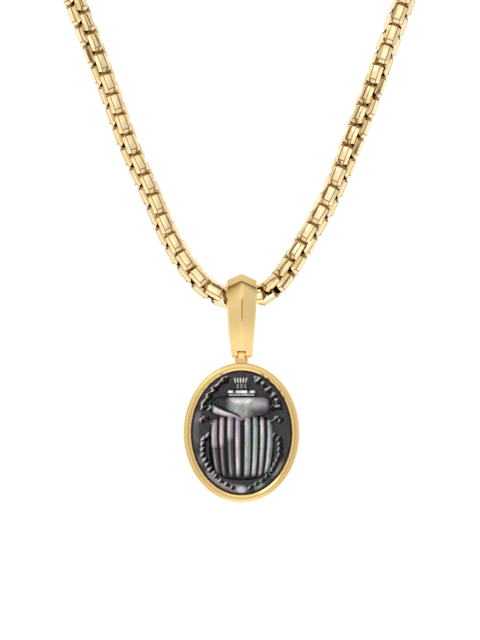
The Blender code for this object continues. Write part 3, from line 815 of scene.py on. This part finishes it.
class AMULET_OT_bail(bpy.types.Operator):
    """Fold the ridged strap over the chain and saw the fork in its foot."""

    bl_idname = "amulet.bail"
    bl_label = "Bail"

    def execute(self, context):
        """A section across the strap is carried round the side view's loop.

        At each station the section is a flat loop of points: the outer face with its ridge, a rounded edge,
        the side, the inner face and back. Outer and inner ways are two closed curves with matched stations.
        """
        outer, inner = self.ways()
        edge = sizes().bail_edge
        through = inner[:, :2] - outer[:, :2]
        depth = np.linalg.norm(through, axis=1, keepdims=True)
        through = through / depth
        rings = []
        for way, sign in ((outer, 1.0), (inner, -1.0)):
            half = bail_half_width(way[:, 0])
            share = (way[:, 0] - PIN_Y) / BAIL_RISE
            soft = 0.03 + 0.13 * ease((share - 0.76) / 0.12) * ease((1.01 - share) / 0.12)
            for across in sign * STRAP_SPREAD:
                lean = (1 - np.sqrt(across**2 + soft**2))[:, None]
                place = way[:, :2] + lean * way[:, 2:]
                rings.append(np.column_stack([across * (half - edge), place]))
            for turn in np.radians((0.0, 30.0, 60.0, 90.0)):
                sink = edge * (1 - math.cos(turn))
                x = half - edge + edge * math.sin(turn)
                rings.append(np.column_stack([sign * x, way[:, :2] + sign * through * sink]))
        points = np.stack(rings, axis=1)
        faces = grid_quads(len(outer), len(rings), close_rows=True, close_columns=True)
        # Painted shade below the crown and over it, and a dark line painted on the ridge
        bail = make_piece(
            "bail_strap", points, faces.tolist(), [gold(SATIN)], NECKLACE, ["bail"],
            sharp=BAIL_SHARP_DEG, values={"painted_shade": self.painted_shading(outer, points)},
        )
        self.saw_fork(bail)
        return {"FINISHED"}

    def painted_shading(self, outer, points):
        """How much painted shade each point has: deep just below the crown, more so at the left, and a
        painted dark line on the ridge.

        The crown has a third of it, the middle of the front's height a little, and the inside none.
        """
        station = np.arange(len(outer))
        front = (station >= FOOT_STATIONS) & (station < FOOT_STATIONS + SLOPE_STATIONS)
        below = (outer[FOOT_STATIONS + SLOPE_STATIONS - 1, 0] - outer[:, 0])[:, None]
        x = points[..., 0]
        fade = np.where(x < 0, 0.45 * MM - 0.3 * x, 0.16 * MM + 0.12 * x)
        painted_shade = np.exp(-np.maximum(below, 0) / fade)
        share = ((outer[:, 0] - PIN_Y) / BAIL_RISE)[:, None]
        ridge = ease((share - 0.36) / 0.2) * ease((0.82 - share) / 0.06) * (np.abs(x) < 0.02 * MM)
        waist = 0.17 * bell(share, 0.55, 0.22)
        crest = station - FOOT_STATIONS - SLOPE_STATIONS
        crown = 0.34 * ((crest >= 0) & (crest < CREST_STATIONS))
        outside = np.arange(points.shape[1]) < len(STRAP_SPREAD)
        front_shade = np.maximum(np.maximum(painted_shade, ridge), waist) * front[:, None]
        return np.maximum(front_shade, crown[:, None]) * outside

    def ways(self):
        """Outer and inner side views as y, z and the ridge's lift and lean, from the foot up the front.

        Up the front the strap follows bail_slope, falls off past the front's upper edge in a straight facet,
        turns over the top in an ellipse's quarter and runs down the flat back. The foot is a half circle
        round the pin.
        """
        wall, drop, crotch, lift = sizes().bail_wall, 1.45 * MM, 3.9 * MM, 0.08 * MM
        crown, rise_to_crease = 1.6 * MM - CREASE_SHIFT, BAIL_RISE + CREASE_SHIFT
        round_y, round_z = 1.3 * MM, 2.6 * MM
        foot_cut, foot_point = 0.25 * MM, -0.42 * MM
        fold = np.linspace(0, 1, CREST_STATIONS + 1)[1:]
        over = np.radians(np.linspace(0, 90, 10))[1:]

        def body(share, thick):
            """Both sides, the crown and the turn over the top, moved in by a thickness."""
            back, front, ridge = bail_slope(share)
            top = PIN_Y + rise_to_crease + crown - thick
            slope = np.column_stack([
                PIN_Y + share * rise_to_crease, front - thick, share**2 * RIDGE_TOP, ridge,
            ])
            crest = np.column_stack([
                PIN_Y + rise_to_crease + (crown - thick) * fold, FRONT_TOP_Z - thick - drop * fold,
                RIDGE_TOP + 0 * fold, RIDGE_TOP * (1 - fold),
            ])
            upright = [(top, (FRONT_TOP_Z - drop - thick + lift + round_z) / 2, RIDGE_TOP, 0)]
            turn_over = np.column_stack([
                top - (round_y - thick) * (1 - np.cos(over)),
                lift + round_z - (round_z - thick) * np.sin(over), RIDGE_TOP * np.cos(over), 0 * over,
            ])
            down = share[::-1][1:]
            rear = np.column_stack([
                PIN_Y + down * rise_to_crease, back[::-1][1:] + thick, 0 * down, 0 * down,
            ])
            return np.concatenate([slope, crest, upright, turn_over, rear])

        turn = np.linspace(0, math.pi / 2, FOOT_STATIONS + 1)[:-1]
        up, out = turned(FOOT_RADIUS, turn)
        foot_y, point = PIN_Y - up + foot_cut * np.cos(turn), foot_point * np.cos(turn)
        foot = np.column_stack([foot_y, PIN_Z + out, point, RIDGE_FOOT * np.sin(turn)])
        under = np.column_stack([foot_y, PIN_Z - out, point, 0 * turn])[:0:-1]
        share = 1 - np.linspace(1, 0, SLOPE_STATIONS) ** 1.7
        outer = np.concatenate([foot, body(share, 0), under])
        low = crotch / rise_to_crease
        hollow = body(low + (1 - low) * share, wall)
        middle = (hollow[0] + hollow[-1]) / 2
        climb = np.linspace(0, 1, FOOT_STATIONS + 1)[:-1, None]
        front_in = middle + (hollow[0] - middle) * climb
        rear_in = middle + (hollow[-1] - middle) * climb[:0:-1]
        return outer, np.concatenate([front_in, hollow, rear_in])

    def saw_fork(self, bail):
        """Cuts the fork's slot and the pin's hole with EXACT Booleans and keeps the result as the mesh."""
        slot_half, slot_top, deep, sides = 0.72 * MM, PIN_Y + 0.55 * MM, 4 * MM, 24
        corners = np.array([(x, y, z) for x in (-1, 1) for y in (0, 1) for z in (-1, 1)], dtype=float)
        box = corners * (slot_half, slot_top - BEZEL_HALF_LENGTH, deep) + (0, BEZEL_HALF_LENGTH, PIN_Z)
        box_faces = [(0, 1, 3, 2), (4, 6, 7, 5), (0, 4, 5, 1), (2, 3, 7, 6), (0, 2, 6, 4), (1, 5, 7, 3)]
        hole_y, hole_z = turned(PIN_RADIUS + PIN_CLEARANCE, np.arange(sides) * math.tau / sides)
        drill = np.concatenate([
            np.column_stack([np.full(sides, x), PIN_Y + hole_y, PIN_Z + hole_z]) for x in (-deep, deep)
        ])
        for points, faces in ((box, box_faces), (drill, tube_faces(2, sides))):
            mesh = bpy.data.meshes.new("cutter")
            mesh.from_pydata(points.tolist(), [], faces)
            cutter = bpy.data.objects.new("cutter", mesh)
            bpy.context.scene.collection.objects.link(cutter)
            modifier = bail.modifiers.new("cut", "BOOLEAN")
            modifier.solver = "EXACT"
            modifier.object = cutter
            bpy.context.view_layer.update()
            evaluated = bail.evaluated_get(bpy.context.evaluated_depsgraph_get())
            cut = bpy.data.meshes.new_from_object(evaluated)
            bail.modifiers.clear()
            bail.data = cut
            bpy.data.objects.remove(cutter)
        bail.data.name = bail.name
        bail.data.shade_smooth()
        bail.data.set_sharp_from_angle(angle=math.radians(BAIL_SHARP_DEG))


def lathe(name, along, radius, middle_y, middle_z, sides, finish, node, sharp=30.0):
    """A closed turned piece along X: its radius at each place along is carried round, with flat ends."""
    turn = np.arange(sides)[None, :] * math.tau / sides
    y, z = turned(radius[:, None], turn)
    x = np.broadcast_to(along[:, None], y.shape)
    points = np.stack([x, middle_y + y, middle_z + z], axis=-1)
    faces = tube_faces(len(along), sides)
    make_piece(name, points, faces, [gold(finish)], NECKLACE, [node], sharp)


class AMULET_OT_pin(bpy.types.Operator):
    """Turn the hinge pin, whose ends are filed to low domes."""

    bl_idname = "amulet.pin"
    bl_label = "Hinge pin"

    def execute(self, context):
        """A straight pin whose ends, 0.12 mm long, are an ellipse's quarter."""
        half, cap = PIN_HIGH.x, 0.12 * MM
        turn = np.radians(np.linspace(0, 80, 6))
        dome = half - cap + cap * np.sin(turn)
        radius = PIN_RADIUS * np.cos(turn)
        along = np.concatenate([-dome[::-1], dome])
        radii = np.concatenate([radius[::-1], radius])
        lathe("hinge_pin_turned", along, radii, PIN_Y, PIN_Z, 32, POLISHED, "hinge_pin")
        return {"FINISHED"}


def lying_height(turn):
    """Height of the chain's middle when its lowest corner is on the ground."""
    turn = np.abs(turn)
    return LINK_ACROSS / 2 * np.cos(turn) + LINK_BAND / 2 * np.sin(turn)


def chain_line():
    """Closely spaced points and face turns round the closed route, and the way walked to each.

    Between two knots each value is a cubic with the knots' slopes, where a slope is the mean of the two
    neighbouring straight ones, weighted by the other's length. The line rises on a soft S towards the bail.
    """
    knots = np.array(CHAIN_ROUTE) * (MM, MM, math.radians(1.0))
    ahead = np.roll(knots, -1, axis=0)
    gaps = np.hypot(*(ahead - knots)[:, :2].T)[:, None]
    slopes = (ahead - knots) / gaps
    before = np.roll(slopes, 1, axis=0)
    weight = np.roll(gaps, 1, axis=0) / (gaps + np.roll(gaps, 1, axis=0))
    slopes_here = (1 - weight) * before + weight * slopes
    slopes_ahead = np.roll(slopes_here, -1, axis=0)
    t = (np.arange(ROUTE_STEPS) / ROUTE_STEPS)[None, :, None]
    start, end, run = knots[:, None], ahead[:, None], gaps[:, None]
    line = (
        (2 * t**3 - 3 * t**2 + 1) * start
        + (t**3 - 2 * t**2 + t) * run * slopes_here[:, None]
        + (3 * t**2 - 2 * t**3) * end
        + (t**3 - t**2) * run * slopes_ahead[:, None]
    ).reshape(-1, 3)
    line = np.concatenate([line, line[:1]])
    flat, turn = line[:, :2], line[:, 2]
    away = np.hypot(flat[:, 0], flat[:, 1] - CREASE_Y)
    lift = (CHAIN_LIFTED_Z - LINK_ACROSS / 2) * ease((LIFT_END - away) / (LIFT_END - LIFT_START))
    points = np.column_stack([flat, lying_height(turn) + lift])
    walked = np.concatenate([[0], np.cumsum(np.linalg.norm(np.diff(points, axis=0), axis=1))])
    return points, turn, walked


def link_shape():
    """One link about its middle, as along, across and band: a band's section carried round a cornered loop.

    The loop is a square with blunt corners, and its walls are pillows: a flat panel in the middle, a narrow
    bend, and a wide blunt border that falls a third as far as it runs. The section has the same form.
    The second result is the painted shade and painted dark reflection on each face, by its place along the
    loop and round the section.
    """
    half_long, half_across, half_band = sizes().link_length / 2, LINK_ACROSS / 2, LINK_BAND / 2
    thick = sizes().link_thickness
    quarter_loop = np.array([(0.6, 0.0), (0.7, 0.06 * MM), (1.0, 0.36 * MM)])
    wall = np.concatenate([quarter_loop[::-1] * (-1, 1), quarter_loop])
    loop = np.column_stack([wall[:, 0] * half_long, half_across - wall[:, 1]])
    loop = np.concatenate([loop, -loop])
    ahead, behind = np.roll(loop, -1, axis=0) - loop, loop - np.roll(loop, 1, axis=0)
    ahead, behind = unit(ahead), unit(behind)
    out = np.column_stack([-(ahead + behind)[:, 1], (ahead + behind)[:, 0]])
    out /= (1 + np.sum(ahead * behind, axis=1))[:, None]
    section = np.array([
        (-1.0, 0.3 * MM), (-0.62, 0.06 * MM), (-0.48, 0.0), (0.42, 0.0), (0.56, 0.06 * MM), (1.0, 0.3 * MM),
        (0.97, thick), (-0.97, thick),
    ])
    sunk = section[None, :, 1:]
    flat = loop[:, None] - out[:, None] * sunk
    band = np.broadcast_to(section[None, :, :1] * half_band, (len(loop), len(section), 1))
    # Painted shade and painted dark reflection: the narrow bends, the borders at one end, the inside of the
    # band, and both end walls
    dull_and_painted_shade = np.zeros((len(loop), len(section)))
    dull_and_painted_shade[1:10, (1, 3)] = 0.85
    dull_and_painted_shade[(3, 7), 1:4] = 0.85
    dull_and_painted_shade[(0, 10), 0:5] = 0.95
    dull_and_painted_shade[:, 5:] = 0.2
    dull_and_painted_shade[(5, 11), :] = 0.9
    return np.concatenate([flat, band], axis=-1), dull_and_painted_shade


class AMULET_OT_chain(bpy.types.Operator):
    """Set every link of the rounded box chain on its route."""

    bl_idname = "amulet.chain"
    bl_label = "Box chain"

    def execute(self, context):
        """All links are placed at once: their middles and directions are read off the route as arrays."""
        points, turn, walked = chain_line()
        length = walked[-1] - CLASP_LENGTH - 2 * CLASP_END_GAP
        links = round(length / LINK_PITCH)
        pitch = length / links
        number = np.arange(links)
        way = CLASP_LENGTH / 2 + CLASP_END_GAP + (number + 0.5) * pitch
        here, ahead, behind = (
            np.stack([np.interp(place, walked, points[:, axis]) for axis in range(3)], axis=-1)
            for place in (way, way + pitch / 2, way - pitch / 2)
        )
        onward = unit(ahead - behind)
        side = unit(np.cross(onward, (0, 0, 1)))
        face = np.cross(side, onward)
        angle = np.interp(way, walked, turn)[:, None]
        cos, sin = turned(1.0, angle)
        side, face = side * cos + face * sin, face * cos - side * sin
        odd = (number % 2 == 1)[:, None]
        across = np.where(odd, side, face)
        band = np.where(odd, face, side)
        shape, dull_and_painted_shade = link_shape()
        # The painted shade is mirrored where the chain runs towards +Y, so that it keeps to the same side of
        # every link
        mirrored = dull_and_painted_shade[(4 - np.arange(len(dull_and_painted_shade))) % len(dull_and_painted_shade)]
        link_shades = np.where((onward[:, 1] < 0)[:, None, None], dull_and_painted_shade[None], mirrored[None])
        placed = (
            here[:, None, None]
            + onward[:, None, None] * shape[None, ..., 0:1]
            + across[:, None, None] * shape[None, ..., 1:2]
            + band[:, None, None] * shape[None, ..., 2:3]
        )
        one = grid_quads(*dull_and_painted_shade.shape, close_rows=True, close_columns=True)
        runs = sorted(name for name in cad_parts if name.startswith("chain_"))
        halves = {part: [name for name in runs if part in name] for part in ("left", "right", "middle")}
        in_bail = np.argmin(np.hypot(points[:, 0], points[:, 1] - CREASE_Y + LINK_ACROSS / 2))
        at_bail = round((walked[in_bail] - way[0] + pitch / 2) / pitch)
        before_bail, past_bail = at_bail - LINKS_BESIDE_BAIL, at_bail + LINKS_BESIDE_BAIL
        spans = {"left": (0, before_bail), "middle": (before_bail, past_bail), "right": (past_bail, links)}
        for part, (first, last) in spans.items():
            chosen = number[first:last]
            faces = np.where((chosen % 2 == 1)[:, None, None], one[None, :, ::-1], one[None])
            faces = faces + (np.arange(last - first) * dull_and_painted_shade.size)[:, None, None]
            make_piece(
                f"box_chain_{part}", placed[first:last], faces.reshape(-1, 4).tolist(), [gold(BRIGHT)],
                NECKLACE, halves[part], sharp=40.0, values={"painted_shade": link_shades[first:last]},
            )
        return {"FINISHED"}


class AMULET_OT_clasp(bpy.types.Operator):
    """Turn the two halves of the screw clasp."""

    bl_idname = "amulet.clasp"
    bl_label = "Clasp"

    def execute(self, context):
        """Each half is a drum with rounded ends and a shallow groove near each end."""
        for name, node, low, high in (
            ("clasp_barrel_turned", "clasp_barrel", BARREL_LOW, BARREL_HIGH),
            ("clasp_cap_turned", "clasp_cap", CAP_LOW, CAP_HIGH),
        ):
            radius = (high.y - low.y) / 2
            corner, collar, groove, cut = 0.5 * MM, 0.35 * MM, 0.12 * MM, 0.1 * MM
            turn = np.radians(np.linspace(0, 90, 6))
            end = np.concatenate([
                corner * (1 - np.cos(turn)), corner + collar + groove * np.arange(3),
            ])
            end_radius = radius - np.concatenate([corner * (1 - np.sin(turn)), (0, cut, 0)])
            along = np.concatenate([low.x + end, high.x - end[::-1]])
            radii = np.concatenate([end_radius, end_radius[::-1]])
            middle = (high + low) / 2
            lathe(name, along, radii, middle.y, middle.z, 48, BRIGHT, node, sharp=50.0)
        return {"FINISHED"}


class AMULET_OT_stage(bpy.types.Operator):
    """Lay the floor and set the studio's light and camera."""

    bl_idname = "amulet.stage"
    bl_label = "Studio"

    def execute(self, context):
        """A wide pale floor under a light tent, and a camera straight above."""
        scene = context.scene
        corners = np.array([(-1, -1, 0), (1, -1, 0), (1, 1, 0), (-1, 1, 0)]) * FLOOR_HALF
        corners[:, 2] = CAD_BOX[0][2] - FLOOR_GAP
        mesh = bpy.data.meshes.new("floor")
        mesh.from_pydata(corners.tolist(), [], [(0, 1, 2, 3)])
        mesh.materials.append(floor_material())
        floor = bpy.data.objects.new("floor", mesh)
        scene.collection.objects.link(floor)
        self.light(scene)
        self.camera(scene)
        return {"FINISHED"}

    def light(self, scene):
        """A light tent as the world: its colour follows the height of the direction, under soft cards.

        The white tent has one dark band, of the room low round it, which draws the dark lines in the gold.
        Each card covers the directions within its reach of its middle, with a soft edge.
        """
        world = bpy.data.worlds.new("light tent")
        world.use_nodes = True
        tree = world.node_tree
        tree.nodes.clear()
        direction = add_node(tree, "TexCoord").outputs["Generated"]
        parts = add_node(tree, "SeparateXYZ", {"Vector": direction})
        sky = add_node(tree, "ValToRGB", {"Fac": parts.outputs["Z"]}, stops=coded(TENT))
        shade = sky.outputs["Color"]
        for middle, near, far, brightness in CARDS:
            toward = np.array(middle) / np.linalg.norm(middle)
            facing = add_node(
                tree, "VectorMath", {0: direction, 1: tuple(toward)}, operation="DOT_PRODUCT"
            )
            reach = add_node(tree, "MapRange", {
                "Value": facing.outputs["Value"],
                "From Min": math.cos(math.radians(far)), "From Max": math.cos(math.radians(near)),
            }, interpolation_type="SMOOTHSTEP")
            card = (brightness, brightness, brightness, 1)
            shade = add_node(
                tree, "Mix", {"Factor": reach.outputs["Result"], "A": shade, "B": card},
                data_type="RGBA",
            ).outputs["Result"]
        light = add_node(tree, "Background", {"Color": shade, "Strength": TENT_STRENGTH})
        add_node(tree, "OutputWorld", {"Surface": light.outputs["Background"]})
        scene.world = world
        scene.view_settings.view_transform = "Standard"
        scene.view_settings.look = "None"

    def camera(self, scene):
        """A long lens straight above, framing 480 x 640 pixels at six to the millimetre."""
        data = bpy.data.cameras.new("camera")
        frame_height = IMAGE_HEIGHT_PX / PIXELS_PER_MM * MM
        data.sensor_fit = "VERTICAL"
        data.sensor_height = SENSOR_MM
        data.lens = SENSOR_MM * CAMERA_HEIGHT / frame_height
        data.clip_start = 0.01
        data.clip_end = 10.0
        camera = bpy.data.objects.new("camera", data)
        camera.location = (VIEW_CENTRE_X, VIEW_CENTRE_Y, CAMERA_HEIGHT + STONE_GROUND_Z)
        scene.collection.objects.link(camera)
        scene.camera = camera


class AMULET_PT_build(bpy.types.Panel):
    """Lists the pieces and the studio in the sidebar."""

    bl_idname = "AMULET_PT_build"
    bl_label = "Scarab amulet"
    bl_space_type = "VIEW_3D"
    bl_region_type = "UI"
    bl_category = "Amulet"

    def draw(self, context):
        for operator in OPERATORS:
            self.layout.operator(operator.bl_idname)
        for group in (context.scene.amulet_sizes, context.scene.amulet_colours):
            for name in group.bl_rna.properties.keys():
                if name not in {"rna_type", "name"}:
                    self.layout.prop(group, name)


OPERATORS = (
    AMULET_OT_stone,
    AMULET_OT_bezel,
    AMULET_OT_bail,
    AMULET_OT_pin,
    AMULET_OT_chain,
    AMULET_OT_clasp,
    AMULET_OT_stage,
)
CLASSES = (AmuletSizes, AmuletColours, *OPERATORS, AMULET_PT_build)


def register():
    """Adds the classes, and the sizes and colours of the scene."""
    for item in CLASSES:
        bpy.utils.register_class(item)
    bpy.types.Scene.amulet_sizes = PointerProperty(type=AmuletSizes)
    bpy.types.Scene.amulet_colours = PointerProperty(type=AmuletColours)


def unregister():
    """Takes them away again."""
    del bpy.types.Scene.amulet_colours
    del bpy.types.Scene.amulet_sizes
    for item in reversed(CLASSES):
        bpy.utils.unregister_class(item)


def main():
    """Makes every piece and the studio in order."""
    register()
    for operator in OPERATORS:
        getattr(bpy.ops.amulet, operator.bl_idname.split(".")[1])()


if __name__ == "__main__":
    main()
